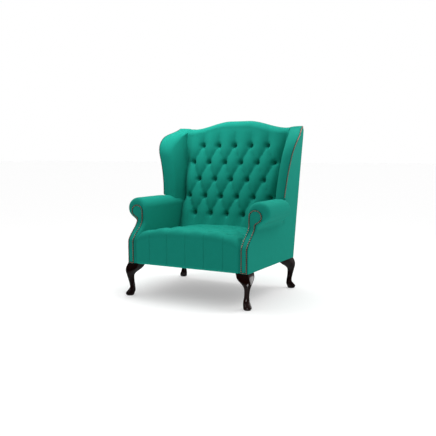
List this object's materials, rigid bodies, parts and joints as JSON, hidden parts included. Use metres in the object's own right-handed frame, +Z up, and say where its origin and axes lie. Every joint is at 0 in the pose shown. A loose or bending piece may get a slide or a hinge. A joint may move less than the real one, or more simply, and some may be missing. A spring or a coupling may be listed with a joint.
{
  "type": "wing chair and a half",
  "caption": "Wide high-backed wing armchair with a diamond-buttoned back and seat, rolled arms with nailed facings, and dark cabriole legs.",
  "frame": {"origin": "on the floor, under the middle of the chair's bounding box", "axes": "+Z up, -Y the way the chair faces, +X to the sitter's left"},
  "size_m": [1.0618, 0.8292, 1.154],
  "materials": {
    "green_wool": "brushed wool, matt with a soft sheen",
    "mahogany": "dark stain, gloss polish",
    "beech": "planed, bare",
    "bronze_nail": "antique bronze, domed heads",
    "steel": "drawn wire and zinc-plated bolts",
    "hessian": "woven jute webbing",
    "felt": "needled felt",
    "black_cambric": "thin woven cloth"
  },
  "bodies": {
    "root": {"inside_back": "green_wool", "seat": "green_wool", "outer_back_panel": "green_wool", "left_inside_arm": "green_wool", "right_inside_arm": "green_wool", "left_arm_facing": "green_wool", "right_arm_facing": "green_wool", "left_outer_arm_panel": "green_wool", "right_outer_arm_panel": "green_wool", "left_inside_wing": "green_wool", "right_inside_wing": "green_wool", "left_outer_wing_panel": "green_wool", "right_outer_wing_panel": "green_wool", "left_arm_nail_trim": "bronze_nail", "right_arm_nail_trim": "bronze_nail", "left_wing_nail_trim": "bronze_nail", "right_wing_nail_trim": "bronze_nail", "front_left_leg": "mahogany", "front_right_leg": "mahogany", "rear_left_leg": "mahogany", "rear_right_leg": "mahogany", "front_seat_rail": "beech", "rear_seat_rail": "beech", "left_seat_rail": "beech", "right_seat_rail": "beech", "front_left_corner_block": "beech", "front_right_corner_block": "beech", "rear_left_corner_block": "beech", "rear_right_corner_block": "beech", "left_back_post": "beech", "right_back_post": "beech", "crest_rail": "beech", "lower_back_rail": "beech", "left_arm_post": "beech", "right_arm_post": "beech", "left_arm_rail": "beech", "right_arm_rail": "beech", "left_wing_post": "beech", "right_wing_post": "beech", "left_wing_top_rail": "beech", "right_wing_top_rail": "beech", "front_left_leg_bolt": "steel", "front_right_leg_bolt": "steel", "rear_left_leg_bolt": "steel", "rear_right_leg_bolt": "steel", "seat_spring_1": "steel", "seat_spring_2": "steel", "seat_spring_3": "steel", "seat_spring_4": "steel", "seat_spring_5": "steel", "back_strap_1": "hessian", "back_strap_2": "hessian", "back_strap_3": "hessian", "back_strap_4": "hessian", "seat_platform": "felt", "dust_cover": "black_cambric"}
  },
  "joints": []
}
